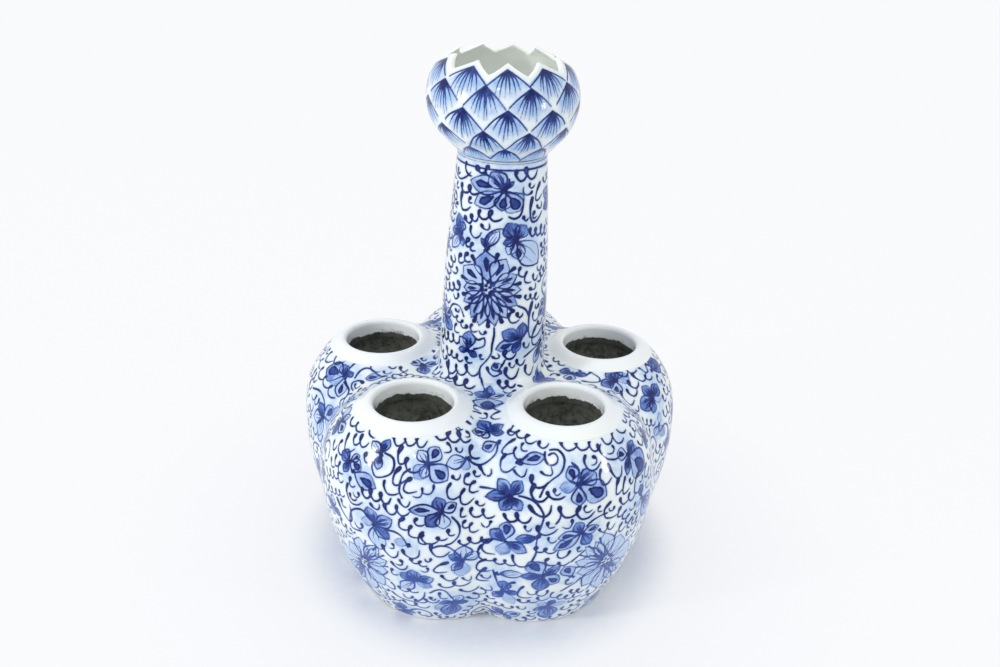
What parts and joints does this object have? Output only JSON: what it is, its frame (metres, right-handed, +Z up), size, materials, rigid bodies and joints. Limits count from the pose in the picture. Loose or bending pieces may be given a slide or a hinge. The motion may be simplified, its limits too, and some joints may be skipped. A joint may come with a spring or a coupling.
{
  "type": "tulip vase",
  "caption": "Blue-and-white porcelain tulip vase: joined bulbs with mouth rings round a tapering column that ends in a lotus-bud mouth.",
  "frame": {"origin": "middle of the flat standing face, on the axis that the bulbs stand round", "axes": "+Z up along that axis, -Y towards the front, between the two front bulbs, +X to the right"},
  "size_m": [0.1862, 0.1823, 0.2514],
  "materials": {
    "painted_glaze": "gloss",
    "white_glaze": "gloss",
    "bare_porcelain": "matte"
  },
  "bodies": {
    "root": {"bulb_upper_front_left": "painted_glaze", "bulb_lower_front_left": "painted_glaze", "mouth_ring_front_left": "white_glaze", "bulb_upper_front_right": "painted_glaze", "bulb_lower_front_right": "painted_glaze", "mouth_ring_front_right": "white_glaze", "bulb_upper_right": "painted_glaze", "bulb_lower_right": "painted_glaze", "mouth_ring_right": "white_glaze", "bulb_upper_back": "painted_glaze", "bulb_lower_back": "painted_glaze", "mouth_ring_back": "white_glaze", "bulb_upper_left": "painted_glaze", "bulb_lower_left": "painted_glaze", "mouth_ring_left": "white_glaze", "column": "painted_glaze", "lotus_bud": "painted_glaze", "well_tube": "bare_porcelain", "well_floor": "bare_porcelain"}
  },
  "joints": []
}
